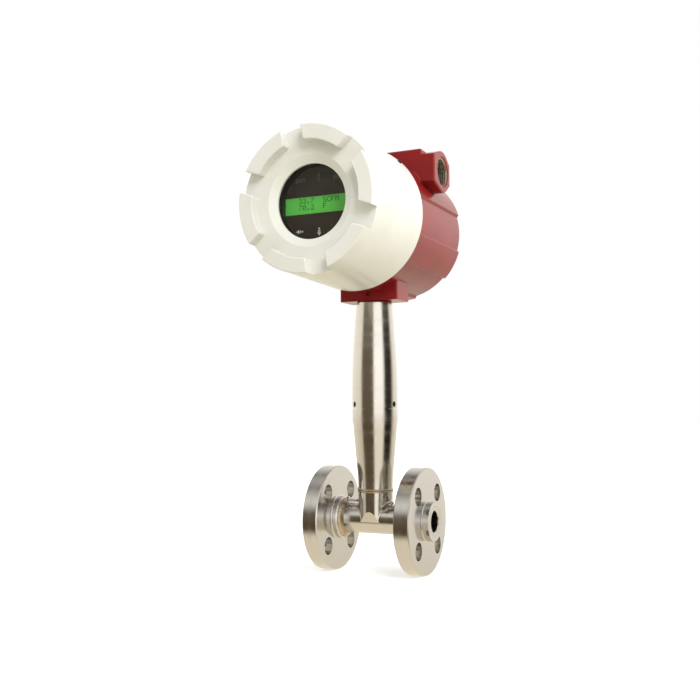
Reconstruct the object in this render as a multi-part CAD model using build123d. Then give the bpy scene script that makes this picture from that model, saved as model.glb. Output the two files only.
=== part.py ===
from build123d import *
from math import cos, radians, sin, sqrt
import os

# Vortex mass flow meter, in millimetres.
# The pieces are drawn about the crossing of the pipe axis and the stem axis:
# +X along the flow to the outlet, +Z up the stem, the display faces -Y.
# The saved frame starts at the centre of the inlet's raised face.

# Clearances
slip_gap = 0.1          # radial gap of a turned piece in its bore
thread_gap = 0.1        # radial gap of a threaded joint, threads drawn plain
seam_gap = 0.3          # open line between the two halves of the stem
edge_break = 0.8        # small chamfer on turned edges
overshoot = 1.0         # how far a cutter runs past the face it cuts

# Flow tube
face_to_face = 114.3
tube_diameter = 26.7
tube_bore = 18.8
mouth_chamfer = 0.8
neck_diameter = 31.75
neck_top = 24.4
saddle_foot = -2.0      # lower edge of the sloping pads, from the pipe axis
saddle_crown = 7.4      # top of the arch of a pad, from the pipe axis
saddle_fillet = 3.0
sensor_pocket_diameter = 22.0
sensor_pocket_floor = 14.5

# Flanges, half-inch class 600 raised face
flange_diameter = 95.2
flange_thickness = 14.3
raised_face_diameter = 34.9
raised_face_height = 6.4
bolt_circle = 66.7
bolt_count = 4
bolt_hole_diameter = 15.9
hub_diameter = 38.1
hub_length = 5.9
hub_round = 1.2
hub_fillet = 1.6
hub_weld_diameter = 35.2
hub_weld_length = 4.2
hub_weld_crest = (0.22, 0.76)   # place of the bead's crest, as shares of its length and height

# Shedder bar, sensor and probe
shedder_width = 4.4
shedder_tail_width = 1.8
shedder_depth = 5.6
shedder_station = -9.0
sensor_head_height = 6.0
sensor_spigot_diameter = 9.8
vane_length = 7.0
vane_thickness = 1.6
vane_reach = 4.0        # tip of the vane below the pipe axis
probe_diameter = 3.0
probe_station = 8.0
probe_reach = 2.0
probe_tip_round = 1.2
probe_collar_diameter = 4.6
probe_collar_height = 2.5
probe_top = 34.0

# Stem
neck_weld_height = 3.3
neck_weld_crown = 0.7
stem_foot_height = 7.3  # straight stretch above the neck weld
stem_diameter = 41.6
seam_height = 99.6
belly_below = 9.6       # widest stretch below and above the seam
belly_above = 38.4
stem_head_diameter = 33.1
stem_rise = 98.4        # top of the stem above the seam
stem_foot_blend = 120.0  # radii of the soft bends in the stem's outline
stem_belly_blend = 170.0
stem_top_blend = 500.0
stem_head_round = 2.0
stem_wall = 4.9
spigot_diameter = 34.0
spigot_length = 13.4
spigot_wall = 3.0
set_screw_diameter = 5.0
set_screw_rise = 4.4    # above the seam
set_screw_angle = -10.0
set_screw_count = 3
screw_groove_depth = 1.0
screw_sink = 0.4        # how far a screw sits under the skin
socket_share = 0.55     # socket of a screw across its corners, as a share of the diameter
stem_ring_rise = 9.8    # above the seam
seal_section = 1.9
seal_groove_depth = 1.75
seal_groove_width = 2.4
seal_slack = 0.02       # gap between a seal and each of its seats
head_spigot_diameter = 19.0
head_spigot_length = 14.0
head_spigot_bore = 12.0

# Electronics housing
housing_diameter = 120.0
land_height = 2.0
land_count = 6
land_angle = 26.4
land_flank = 1.8
housing_front = -40.7
housing_rear = 67.7
bay_wall_front = -16.0
bay_wall_rear = -11.0
rear_wall = 8.7
collar_step = 3.0       # collar below the housing's skin
collar_wall = 7.0
collar_length = 20.0
collar_ring_station = 4.0
foot_drop = 9.9         # under the housing's skin
foot_width = 56.8
foot_depth = 28.4
foot_edge = 1.6
foot_screw_diameter = 7.0
foot_screw_rise = 5.9   # above the foot's underside
shoulder_inset = 7.4    # each side, inside the housing's width
shoulder_rise = 4.6     # above the housing's skin
shoulder_front = -13.8
shoulder_back = 27.8
shoulder_edge = 1.6
shoulder_fillet = 2.0   # where its front meets the round housing
conduit_drop = 13.4     # hole's axis below the housing's crown
conduit_station = 9.0
conduit_diameter = 26.5
conduit_chamfer = 0.9
conduit_depth = 20.0
conduit_way_diameter = 20.0
boss_overhang = 5.0     # past the housing's side
boss_edge = 1.5
boss_diameter = 38.0
boss_flat_front = 24.6
boss_flat_back = 20.0

# Window cover
cover_front = -138.1
cover_taper = 3.7       # front smaller than the rear, each side
cover_skirt = 6.9       # wall at the rear edge
cover_bore_step = 2.0   # bore inside the thread, each side
lug_height = 9.6
lug_width = 12.6        # from the front's outer edge to the lugs' inner wall
lug_count = 6
lug_slot_width = 17.6
lug_slot_angle = 41.5
lug_round = 1.0
lug_corner = 2.0
bowl_margin = 10.1      # flat ring between the lugs and the bowl
bowl_depth = 3.6
bowl_slope = 6.6        # bowl's wall seen from the front
window_lip = 2.0
cover_wall = 8.5
glass_seat = 5.1        # glass under the lip, each side
glass_thickness = 8.0
gasket_thickness = 1.0
ring_overlap = 2.0
ring_thickness = 3.5
pocket_wall = 6.0
lock_screw_diameter = 4.0
lock_screw_station = -46.5
lock_screw_angle = 45.0
lock_screw_stand = 1.2  # how far the screw stands out of the skin

# Electronics stack
panel_face = -108.2
panel_margin = 1.0      # between the panel and the bay's bore
panel_thickness = 1.5
lcd_width = 62.0
lcd_height = 14.0
lcd_body_width = 71.0
lcd_body_height = 26.0
lcd_recess = 0.3        # display's face behind the panel's
board_margin = 3.0
board_thickness = 1.6
display_board_face = -102.0
processor_board_face = -80.0
power_board_face = -58.0
chassis_thickness = 3.0
chassis_margin = 1.0
chassis_clearance = 1.0  # round the feedthrough
standoff_across = 6.0
standoff_margin = 9.0   # standoffs' axes inside the bay's bore
chip_size = 16.0
chip_height = 2.5
chip_places = ((-12.0, 8.0), (14.0, 8.0), (0.0, -16.0))
transformer_size = 22.0
transformer_height = 13.2
capacitor_diameter = 10.0
capacitor_length = 14.0
capacitor_station = 26.0

# Wiring bay
terminal_width = 60.0
terminal_depth = 14.0
terminal_height = 18.0
terminal_base = -16.0
terminal_ways = 8
terminal_spacer = 5.0
terminal_spacer_diameter = 6.0
terminal_pocket = (0.6, 5.6)    # width as a share of a way, and depth
terminal_rim = 3.0      # wall above and below a pocket
terminal_screw_diameter = 3.6
terminal_screw_height = 3.0
harness_diameter = 5.0
feedthrough_diameter = 9.0
feedthrough_flange = 14.0
feedthrough_height = 25.0
feedthrough_reach = 3.0  # past the wall on both sides
feedthrough_flange_thickness = 2.0

# Rear cover
rear_seat = 10.0        # width of the seat round the opening
rear_cover_lap = 6.0
rear_cover_rim = 14.0
rear_cover_edge = 2.0
rear_cover_wall = 6.0
rear_spigot_length = 12.0
rear_slot_width = 12.0
rear_slot_depth = 5.0
rear_slot_share = 0.72  # inner end of a slot, as a share of the cap's radius
rear_seal_lap = 2.5     # seal's middle outside the opening

# Conduit plug
plug_socket = 14.0
plug_socket_depth = 9.0

# Pressure tap and plugged port on the neck
tap_base = (8.6, -11.6, 6.6)
tap_tilt = 41.0
tap_nipple_diameter = 3.6
tap_nipple_length = 5.0
tap_body_across = 5.4
tap_body_length = 8.4
tap_cap_diameter = 5.0
tap_cap_length = 3.6
tap_cap_round = 0.75
port_height = 16.5
port_station = -6.0
port_stem_diameter = 2.4
port_head_diameter = 7.0
port_head_length = 2.0
port_head_bevel = 0.6
port_reach = 26.0

half_length = face_to_face / 2
tube_radius = tube_diameter / 2
bore_radius = tube_bore / 2
neck_radius = neck_diameter / 2
disc_outer = half_length - raised_face_height
disc_inner = disc_outer - flange_thickness
hub_end = disc_inner - hub_length
stem_bottom = neck_top + neck_weld_height
belly_start = seam_height - belly_below
belly_end = seam_height + belly_above
stem_head_height = seam_height + stem_rise
set_screw_height = seam_height + set_screw_rise
stem_ring_height = seam_height + stem_ring_rise
stem_radius = stem_diameter / 2
spigot_radius = spigot_diameter / 2
spigot_top = seam_height + spigot_length
socket_radius = spigot_radius + slip_gap
sensor_top = sensor_pocket_floor + sensor_head_height
housing_radius = housing_diameter / 2
land_radius = housing_radius + land_height
collar_radius = housing_radius - collar_step
bay_radius = collar_radius - collar_wall
foot_bottom = -housing_radius - foot_drop
head_height = stem_head_height - foot_bottom
shoulder_height = housing_radius + shoulder_rise
shoulder_side = housing_radius - shoulder_inset
conduit_height = housing_radius - conduit_drop
boss_reach = housing_radius + boss_overhang
cover_rear_radius = collar_radius + cover_skirt
cover_front_radius = cover_rear_radius - cover_taper
cover_bore_radius = collar_radius - cover_bore_step
lug_inner_radius = cover_front_radius - lug_width
bowl_radius = lug_inner_radius - bowl_margin
window_radius = bowl_radius - bowl_slope
glass_radius = window_radius + glass_seat
ring_radius = glass_radius + ring_overlap
rear_opening_radius = bay_radius - rear_seat
rear_cover_radius = rear_opening_radius + rear_cover_lap
rear_seal_radius = rear_opening_radius + rear_seal_lap
collar_front = housing_front - collar_length
collar_ring = collar_front + collar_ring_station
floor_face = cover_front + lug_height
rim_face = floor_face + bowl_depth
glass_front = rim_face + window_lip
glass_back = glass_front + glass_thickness
gasket_back = glass_back + gasket_thickness
ring_back = gasket_back + ring_thickness
chassis_face = bay_wall_front - chassis_thickness

head = Pos(0, 0, head_height)


def outline(points):
    """A flat face inside straight lines through the points."""
    return make_face(Polyline(*points, close=True))


def turn_x(points):
    """A piece turned about the pipe axis, from points (x, radius)."""
    return revolve(outline(points), Axis.X)


def turn_y(points):
    """A piece turned about the head axis, from points (radius, y)."""
    return revolve(outline(points), Axis.Y)


def turn_z(points):
    """A piece turned about the stem axis, from points (radius, z)."""
    return revolve(Plane.XZ * outline(points), Axis.Z)


def rod_x(radius, start, end, y=0.0, z=0.0):
    """A cylinder along X from start to end."""
    return Pos((start + end) / 2, y, z) * Rot(0, 90, 0) * Cylinder(radius, abs(end - start))


def rod_y(radius, start, end, x=0.0, z=0.0):
    """A cylinder along Y from start to end."""
    return Pos(x, (start + end) / 2, z) * Rot(90, 0, 0) * Cylinder(radius, abs(end - start))


def rod_z(radius, start, end, x=0.0, y=0.0):
    """A cylinder along Z from start to end."""
    return Pos(x, y, (start + end) / 2) * Cylinder(radius, abs(end - start))


def block(x, y, z):
    """A box given by its low and high X, Y and Z."""
    centre = Pos((x[0] + x[1]) / 2, (y[0] + y[1]) / 2, (z[0] + z[1]) / 2)
    return centre * Box(x[1] - x[0], y[1] - y[0], z[1] - z[0])


def save(name, *solids):
    """Write one named piece, moved so that the frame starts at the inlet face."""
    placed = [Pos(half_length, 0, 0) * solid for solid in solids]
    whole = placed[0] if len(placed) == 1 else Compound(placed)
    export_step(whole, f"parts/{name}.step")


def socket_screw(diameter, length):
    """A headless screw along Z, top at zero, with a hexagon socket."""
    body = rod_z(diameter / 2, -length, 0)
    socket = extrude(RegularPolygon(diameter * socket_share / 2, 6), -length / 2)
    return body - socket


# Flow tube, with the neck and its saddle


def flow_body():
    """The tube, its neck with a sloping pad at the front and back, and the pocket for the sensor."""
    tube = turn_x([
        (-half_length, bore_radius + mouth_chamfer),
        (-half_length, tube_radius),
        (half_length, tube_radius),
        (half_length, bore_radius + mouth_chamfer),
        (half_length - mouth_chamfer, bore_radius),
        (-half_length + mouth_chamfer, bore_radius),
    ])
    neck = rod_z(neck_radius, saddle_foot, neck_top)
    body = tube + (neck - rod_x(bore_radius, -half_length, half_length))
    joint = [
        e for e in body.edges()
        if e.geom_type not in (GeomType.LINE, GeomType.CIRCLE)
        and bore_radius < abs(e.center().X) < neck_radius and e.length > tube_radius
    ]
    body = fillet(joint, saddle_fillet)
    pad_foot = sqrt(tube_radius ** 2 - saddle_foot ** 2)
    slope = (saddle_crown - saddle_foot) / (neck_radius - pad_foot)
    outside = neck_radius + saddle_fillet
    wedge = extrude(Plane.YZ * outline([
        (pad_foot, saddle_foot),
        (outside, saddle_foot + slope * (outside - pad_foot)),
        (outside, -tube_radius),
        (pad_foot, -tube_radius),
    ]), neck_radius + saddle_fillet, both=True)
    body -= wedge
    body -= mirror(wedge, Plane.XZ)
    body -= rod_z(sensor_pocket_diameter / 2, sensor_pocket_floor, neck_top)
    body -= rod_z(sensor_spigot_diameter / 2 + slip_gap, 0, sensor_pocket_floor)
    body -= rod_z(probe_diameter / 2 + slip_gap, 0, sensor_pocket_floor, x=probe_station)
    return body


def flange():
    """The outlet flange: disc, raised face, slip-on hub and four bolt holes."""
    bore = tube_radius + slip_gap
    body = turn_x([
        (hub_end, bore),
        (hub_end, hub_diameter / 2 - hub_round),
        (hub_end + hub_round, hub_diameter / 2),
        (disc_inner, hub_diameter / 2),
        (disc_inner, flange_diameter / 2 - edge_break),
        (disc_inner + edge_break, flange_diameter / 2),
        (disc_outer - edge_break, flange_diameter / 2),
        (disc_outer, flange_diameter / 2 - edge_break),
        (disc_outer, raised_face_diameter / 2 + edge_break),
        (disc_outer + edge_break, raised_face_diameter / 2),
        (half_length, raised_face_diameter / 2),
        (half_length, bore),
    ])
    root = [e for e in body.edges().filter_by(GeomType.CIRCLE)
            if abs(e.center().X - disc_inner) < 1e-6 and abs(e.radius - hub_diameter / 2) < 1e-6]
    body = fillet(root, hub_fillet)
    hole = rod_x(bolt_hole_diameter / 2, disc_inner, disc_outer, y=bolt_circle / 2)
    for number in range(bolt_count):
        body -= Rot((number + 0.5) * 360 / bolt_count, 0, 0) * hole
    return body


def hub_weld():
    """The rounded weld between the outlet flange's hub and the tube."""
    low = tube_radius + slip_gap
    high = hub_weld_diameter / 2
    start = hub_end - hub_weld_length
    along, up = hub_weld_crest
    crown = (start + hub_weld_length * along, low + (high - low) * up)
    edge = Curve() + Line((hub_end, low), (hub_end, high))
    edge += ThreePointArc((hub_end, high), crown, (start, low))
    edge += Line((start, low), (hub_end, low))
    return revolve(make_face(edge), Axis.X)


def neck_weld():
    """The bead between the neck and the lower stem."""
    root = sensor_pocket_diameter / 2
    edge = Curve() + Line((root, neck_top), (neck_radius, neck_top))
    crown = (neck_radius + neck_weld_crown, neck_top + neck_weld_height / 2)
    edge += ThreePointArc((neck_radius, neck_top), crown, (neck_radius, stem_bottom))
    edge += Line((neck_radius, stem_bottom), (root, stem_bottom))
    edge += Line((root, stem_bottom), (root, neck_top))
    return revolve(Plane.XZ * make_face(edge), Axis.Z)


def shedder_bar():
    """The bluff bar across the bore: wide face upstream, ends cut to the bore."""
    section = outline([
        (shedder_station - shedder_depth / 2, -shedder_width / 2),
        (shedder_station - shedder_depth / 2, shedder_width / 2),
        (shedder_station + shedder_depth / 2, shedder_tail_width / 2),
        (shedder_station + shedder_depth / 2, -shedder_tail_width / 2),
    ])
    bar = Pos(0, 0, -tube_radius) * extrude(section, tube_diameter)
    return bar & rod_x(bore_radius, -half_length, half_length)


def vortex_sensor():
    """The sensor: a head in the neck's pocket, a spigot and the vane in the stream."""
    body = rod_z(sensor_pocket_diameter / 2 - slip_gap, sensor_pocket_floor, sensor_top)
    body += rod_z(sensor_spigot_diameter / 2, bore_radius, sensor_pocket_floor)
    body += block(
        (-vane_length / 2, vane_length / 2),
        (-vane_thickness / 2, vane_thickness / 2),
        (-vane_reach, bore_radius + vane_thickness),
    )
    body -= rod_z(probe_diameter / 2 + slip_gap, 0, sensor_top, x=probe_station)
    return body


def temperature_probe():
    """The slim probe beside the sensor, with the collar that seats on the sensor's head."""
    tube = rod_z(probe_diameter / 2, -probe_reach, probe_top, x=probe_station)
    tube = fillet(tube.edges().sort_by(Axis.Z)[0], probe_tip_round)
    collar_top = sensor_top + probe_collar_height
    collar = rod_z(probe_collar_diameter / 2, sensor_top, collar_top, x=probe_station)
    return tube + collar


def pressure_tap(neck):
    """The small angled fitting: nipple cut to the neck, hexagon body and capped end."""
    body_end = tap_nipple_length + tap_body_length
    nipple = rod_z(tap_nipple_diameter / 2, 0, tap_nipple_length)
    hexagon = Pos(0, 0, tap_nipple_length) * extrude(
        RegularPolygon(tap_body_across / 2, 6, major_radius=False), tap_body_length)
    cap = rod_z(tap_cap_diameter / 2, body_end, body_end + tap_cap_length)
    cap = fillet(cap.edges().sort_by(Axis.Z)[-1], tap_cap_round)
    tap = Pos(*tap_base) * Rot(0, 90 - tap_tilt, 0) * (nipple + hexagon + cap)
    return tap - neck


def port_plug():
    """The plugged port on the inlet side of the neck: a short stem and a round head."""
    wall = sqrt(neck_radius ** 2 - port_station ** 2)
    seat = -port_reach + port_head_length
    stem = rod_x(port_stem_diameter / 2, -wall, seat, port_station, port_height)
    stem -= rod_z(neck_radius, 0, neck_top)
    cap = rod_x(port_head_diameter / 2, -port_reach, seat, port_station, port_height)
    cap = chamfer(cap.edges().sort_by(Axis.X)[-1], port_head_bevel)
    return stem + cap


# Stem


def lower_stem():
    """The lower cone with its spigot for the upper half."""
    profile = outline([
        (neck_radius, stem_bottom),
        (neck_radius, stem_bottom + stem_foot_height),
        (stem_radius, belly_start),
        (stem_radius, seam_height),
        (spigot_radius, seam_height),
        (spigot_radius, spigot_top),
        (spigot_radius - spigot_wall, spigot_top),
        (spigot_radius - spigot_wall, belly_start),
        (neck_radius - stem_wall, stem_bottom + stem_foot_height),
        (neck_radius - stem_wall, stem_bottom),
    ])
    belly = [v for v in profile.vertices() if abs(v.Y - belly_start) < 1e-6 and v.X > spigot_radius]
    profile = fillet(belly, stem_belly_blend)
    foot_height = stem_bottom + stem_foot_height
    foot = [v for v in profile.vertices() if abs(v.Y - foot_height) < 1e-6 and v.X > neck_radius - 1]
    profile = fillet(foot, stem_foot_blend)
    body = revolve(Plane.XZ * profile, Axis.Z)
    body -= ring_groove(stem_ring_height, seal_groove_width, seal_groove_depth)
    body -= ring_groove(set_screw_height, set_screw_diameter + 2 * thread_gap, screw_groove_depth)
    return body


def ring_groove(height, width, depth):
    """The cutter for a square groove round the spigot."""
    return turn_z([
        (spigot_radius - depth, height - width / 2),
        (stem_radius, height - width / 2),
        (stem_radius, height + width / 2),
        (spigot_radius - depth, height + width / 2),
    ])


def upper_stem():
    """The upper cone: a socket over the spigot, tapped for the set screws, and a spigot for the foot."""
    start = seam_height + seam_gap
    head_radius = stem_head_diameter / 2
    spigot = head_spigot_diameter / 2
    inner = head_spigot_bore / 2
    profile = outline([
        (socket_radius, start),
        (stem_radius, start),
        (stem_radius, belly_end),
        (head_radius, stem_head_height),
        (spigot, stem_head_height),
        (spigot, stem_head_height + head_spigot_length),
        (inner, stem_head_height + head_spigot_length),
        (inner, stem_head_height - stem_wall),
        (spigot_radius - spigot_wall, belly_end),
        (spigot_radius - spigot_wall, spigot_top + seam_gap),
        (socket_radius, spigot_top + seam_gap),
    ])
    belly = [v for v in profile.vertices() if abs(v.Y - belly_end) < 1e-6 and v.X > socket_radius]
    profile = fillet(belly, stem_top_blend)
    crown = [v for v in profile.vertices() if abs(v.Y - stem_head_height) < 1e-6 and v.X > spigot + 1]
    profile = fillet(crown, stem_head_round)
    body = revolve(Plane.XZ * profile, Axis.Z)
    for place in screw_places():
        body -= place * rod_z(set_screw_diameter / 2 + thread_gap, -stem_wall, overshoot)
    return body


def screw_places():
    """Places of the set screws: on the stem's skin, Z pointing outwards."""
    step = 360 / set_screw_count
    angles = [set_screw_angle + number * step for number in range(set_screw_count)]
    skin = Pos(stem_radius, 0, 0) * Rot(0, 90, 0)
    return [Pos(0, 0, set_screw_height) * Rot(0, 0, angle) * skin for angle in angles]


def stem_set_screws():
    """The set screws round the seam, just under the stem's skin."""
    length = stem_radius - spigot_radius + screw_groove_depth - screw_sink
    screw = Pos(0, 0, -screw_sink) * socket_screw(set_screw_diameter, length)
    return [place * screw for place in screw_places()]


def seal_ring(floor, seat):
    """A rubber ring about Z that fills the space from its groove's floor to its seat."""
    return Torus((floor + seat) / 2, (seat - floor) / 2 - seal_slack)


def stem_seal():
    """The seal in the spigot's groove."""
    return Pos(0, 0, stem_ring_height) * seal_ring(spigot_radius - seal_groove_depth, socket_radius)


# Electronics housing


def land_section():
    """The housing's outline across its axis: a circle with six raised lands."""
    half = radians(land_angle / 2)
    foot_half = half + (land_flank / land_radius)
    land = Polygon(
        (0, 0),
        (housing_radius * cos(foot_half), -housing_radius * sin(foot_half)),
        (land_radius * cos(half), -land_radius * sin(half)),
        (land_radius / cos(half), 0),
        (land_radius * cos(half), land_radius * sin(half)),
        (housing_radius * cos(foot_half), housing_radius * sin(foot_half)),
        align=None,
    ) & Circle(land_radius)
    section = Circle(housing_radius)
    for number in range(land_count):
        section += Rot(0, 0, (number + 0.5) * 360 / land_count) * land
    return section


def boss_outline():
    """The conduit boss seen along X: round about the hole, flat at its front and back."""
    round_part = Pos(conduit_station, conduit_height) * Circle(boss_diameter / 2)
    flats = outline([
        (shoulder_front, conduit_height - boss_flat_front / 2),
        (shoulder_front, conduit_height + boss_flat_front / 2),
        (shoulder_back, conduit_height + boss_flat_back / 2),
        (shoulder_back, conduit_height - boss_flat_back / 2),
    ])
    return make_hull((round_part + flats).edges())


def conduit_boss(side):
    """One conduit boss, from inside the shoulder out to its end face."""
    solid = extrude(Plane.YZ * boss_outline(), boss_reach)
    inner = shoulder_side - shoulder_edge - overshoot
    solid -= block((-overshoot, inner), (-housing_radius, housing_radius), (0, 2 * land_radius))
    solid = fillet(solid.faces().sort_by(Axis.X)[-1].edges(), boss_edge)
    return solid if side > 0 else mirror(solid, Plane.YZ)


def conduit_hole(side):
    """The cutter for one conduit entry: countersink, tapped length and the way to the bay."""
    radius = conduit_diameter / 2
    start = boss_reach
    cut = rod_x(radius, start - conduit_depth, start + overshoot)
    cut += turn_x([
        (start - conduit_chamfer, 0),
        (start - conduit_chamfer, radius),
        (start, radius + conduit_chamfer),
        (start + overshoot, radius + conduit_chamfer),
        (start + overshoot, 0),
    ])
    cut += rod_x(conduit_way_diameter / 2, 0, start - conduit_depth)
    cut = Pos(0, conduit_station, conduit_height) * cut
    return cut if side > 0 else mirror(cut, Plane.YZ)


def housing():
    """The red casting: lands, front collar, foot, shoulder and two conduit bosses, hollow in two bays."""
    length = housing_rear - housing_front
    body = Pos(0, housing_rear, 0) * Rot(90, 0, 0) * extrude(land_section(), length)
    foot = block(
        (-foot_width / 2, foot_width / 2), (-foot_depth / 2, foot_depth / 2), (foot_bottom, -bay_radius))
    foot = fillet(foot.edges().filter_by(Axis.Z), foot_edge)
    shoulder = block(
        (-shoulder_side, shoulder_side), (shoulder_front, shoulder_back), (0, shoulder_height))
    shoulder = fillet(
        shoulder.edges().filter_by(Axis.Z) + shoulder.faces().sort_by(Axis.Z)[-1].edges(), shoulder_edge)
    body += foot
    body += shoulder
    root = [e for e in body.edges() if abs(e.center().Y - shoulder_front) < 1e-3 and e.center().Z > 0]
    body = fillet(root, shoulder_fillet)
    body += conduit_boss(1)
    body += conduit_boss(-1)
    body += rod_y(collar_radius, collar_front, housing_front)
    body -= rod_y(bay_radius, collar_front, bay_wall_front)
    body -= rod_y(bay_radius, bay_wall_rear, housing_rear - rear_wall)
    body -= rod_y(rear_opening_radius, housing_rear - rear_wall, housing_rear)
    body -= conduit_hole(1)
    body -= conduit_hole(-1)
    body -= rod_z(head_spigot_diameter / 2 + thread_gap, foot_bottom, foot_bottom + head_spigot_length)
    body -= rod_z(head_spigot_bore / 2, foot_bottom + head_spigot_length, 0)
    screw_hole = rod_z(foot_screw_diameter / 2 + thread_gap, -foot_depth / 2, overshoot)
    body -= foot_screw_place() * screw_hole
    body -= rod_y(
        feedthrough_diameter / 2 + slip_gap, bay_wall_front, bay_wall_rear, z=feedthrough_height)
    groove = rod_y(
        land_radius, collar_ring - seal_groove_width / 2, collar_ring + seal_groove_width / 2)
    groove -= rod_y(collar_radius - seal_groove_depth, collar_front, housing_front)
    return body - groove


def foot_screw_place():
    """The middle of the foot's front face, Z pointing out of it."""
    return Pos(0, -foot_depth / 2, foot_bottom + foot_screw_rise) * Rot(90, 0, 0)


def foot_set_screw():
    """The screw that locks the head on the stem."""
    length = foot_depth / 2 - head_spigot_diameter / 2 - screw_sink
    return foot_screw_place() * Pos(0, 0, -screw_sink) * socket_screw(foot_screw_diameter, length)


def feedthrough():
    """The sealed bushing that carries the wires through the wall between the bays."""
    low = bay_wall_front - feedthrough_reach
    high = bay_wall_rear + feedthrough_reach
    seat = bay_wall_rear + feedthrough_flange_thickness
    body = rod_y(feedthrough_diameter / 2, low, high, z=feedthrough_height)
    return body + rod_y(feedthrough_flange / 2, bay_wall_rear, seat, z=feedthrough_height)


# Window cover


def window_cover():
    """The white cover: six raised lugs, a flat ring, a conical bowl and the window's seat."""
    thread = collar_radius + thread_gap
    inside = floor_face + cover_wall
    pocket = ring_radius + thread_gap
    body = turn_y([
        (cover_rear_radius, housing_front),
        (cover_front_radius, cover_front),
        (lug_inner_radius, cover_front),
        (lug_inner_radius, floor_face),
        (bowl_radius, floor_face),
        (window_radius, rim_face),
        (window_radius, glass_front),
        (glass_radius + slip_gap, glass_front),
        (glass_radius + slip_gap, gasket_back),
        (pocket, gasket_back),
        (pocket, ring_back),
        (pocket + pocket_wall, ring_back),
        (pocket + pocket_wall, inside),
        (cover_bore_radius, inside),
        (cover_bore_radius, collar_front - overshoot),
        (thread, collar_front - overshoot),
        (thread, housing_front),
    ])
    slot = block(
        (bowl_radius, cover_rear_radius),
        (cover_front - overshoot, floor_face),
        (-lug_slot_width / 2, lug_slot_width / 2),
    )
    for number in range(lug_count):
        body -= Rot(0, -lug_slot_angle - number * 360 / lug_count, 0) * slot
    body = round_lugs(body)
    hole = rod_z(lock_screw_diameter / 2 + thread_gap, -2 * cover_skirt, overshoot)
    body -= lock_screw_place() * hole
    return body


def round_lugs(body):
    """Round the lugs: their upright corners, then the edges of their tops."""
    middle = (cover_front + floor_face) / 2
    upright = [
        e for e in body.edges().filter_by(GeomType.LINE)
        if abs(e.center().Y - middle) < lug_height / 4 and abs(e.length - lug_height) < lug_height / 4
    ]
    body = fillet(upright, lug_corner)
    top = [e for e in body.edges() if abs(e.center().Y - cover_front) < 1e-4]
    return fillet(top, lug_round)


def cover_radius_at(y):
    """Outer radius of the cover at a station along its axis."""
    share = (y - cover_front) / (housing_front - cover_front)
    return cover_front_radius + cover_taper * share


def lock_screw_place():
    """On the cover's skin near its rear edge, Z pointing outwards."""
    radius = cover_radius_at(lock_screw_station)
    return Rot(0, -lock_screw_angle, 0) * Pos(radius, lock_screw_station, 0) * Rot(0, 90, 0)


def cover_lock_screw():
    """The screw that locks the cover on the housing's collar."""
    length = cover_radius_at(lock_screw_station) - collar_radius + lock_screw_stand
    return lock_screw_place() * Pos(0, 0, lock_screw_stand) * socket_screw(lock_screw_diameter, length)


def cover_seal():
    """The seal in the collar's groove."""
    ring = seal_ring(collar_radius - seal_groove_depth, collar_radius + thread_gap)
    return Pos(0, collar_ring, 0) * Rot(90, 0, 0) * ring


def window_glass():
    """The thick round window."""
    glass = rod_y(glass_radius, glass_front, glass_back)
    return chamfer(glass.edges().filter_by(GeomType.CIRCLE), edge_break / 2)


def flat_ring(outer, inner, start, end):
    """A flat ring about the head axis."""
    return turn_y([(inner, start), (outer, start), (outer, end), (inner, end)])


# Electronics stack


def display_panel():
    """The dark front plate, cut out for the display."""
    plate = rod_y(bay_radius - panel_margin, panel_face, panel_face + panel_thickness)
    return plate - block(
        (-lcd_width / 2 - slip_gap, lcd_width / 2 + slip_gap),
        (panel_face - overshoot, panel_face + panel_thickness + overshoot),
        (-lcd_height / 2 - slip_gap, lcd_height / 2 + slip_gap),
    )


def lcd_module():
    """The liquid crystal display: the viewing window in the panel's cut-out and the body behind."""
    back = panel_face + panel_thickness
    front = block(
        (-lcd_width / 2, lcd_width / 2), (panel_face + lcd_recess, back),
        (-lcd_height / 2, lcd_height / 2))
    body = block(
        (-lcd_body_width / 2, lcd_body_width / 2), (back, display_board_face),
        (-lcd_body_height / 2, lcd_body_height / 2))
    return front + body


def board(face, *parts_on_it):
    """A round circuit board with its components, clear of the standoffs."""
    plate = rod_y(bay_radius - board_margin, face, face + board_thickness)
    for piece in parts_on_it:
        plate += piece
    return plate


def display_board():
    """The board that carries the display."""
    return board(display_board_face)


def processor_board():
    """The board with the processor and its memory."""
    face = processor_board_face
    chips = [
        block(
            (x - chip_size / 2, x + chip_size / 2), (face - chip_height, face),
            (z - chip_size / 2, z + chip_size / 2))
        for x, z in chip_places
    ]
    return board(face, *chips)


def power_board():
    """The board with the supply and its transformer."""
    face = power_board_face
    size = transformer_size / 2
    can = rod_y(capacitor_diameter / 2, face - capacitor_length, face, x=capacitor_station)
    return board(
        face,
        block((-size, size), (face - transformer_height, face), (-size, size)),
        can,
        mirror(can, Plane.YZ),
    )


def chassis():
    """The plate on the bay's wall that carries the stack."""
    plate = rod_y(bay_radius - chassis_margin, chassis_face, bay_wall_front)
    hole = feedthrough_flange / 2 + chassis_clearance
    return plate - rod_y(hole, chassis_face, bay_wall_front, z=feedthrough_height)


def board_standoffs():
    """Hexagon standoffs: four in each space between the plates."""
    spaces = [
        (panel_face + panel_thickness, display_board_face),
        (display_board_face + board_thickness, processor_board_face),
        (processor_board_face + board_thickness, power_board_face),
        (power_board_face + board_thickness, chassis_face),
    ]
    posts = []
    for start, end in spaces:
        post = extrude(RegularPolygon(standoff_across / 2, 6, major_radius=False), end - start)
        post = Pos(0, end, 0) * Rot(90, 0, 0) * post
        for number in range(4):
            posts.append(Rot(0, 45 + 90 * number, 0) * Pos(bay_radius - standoff_margin, 0, 0) * post)
    return posts


# Wiring bay


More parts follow.
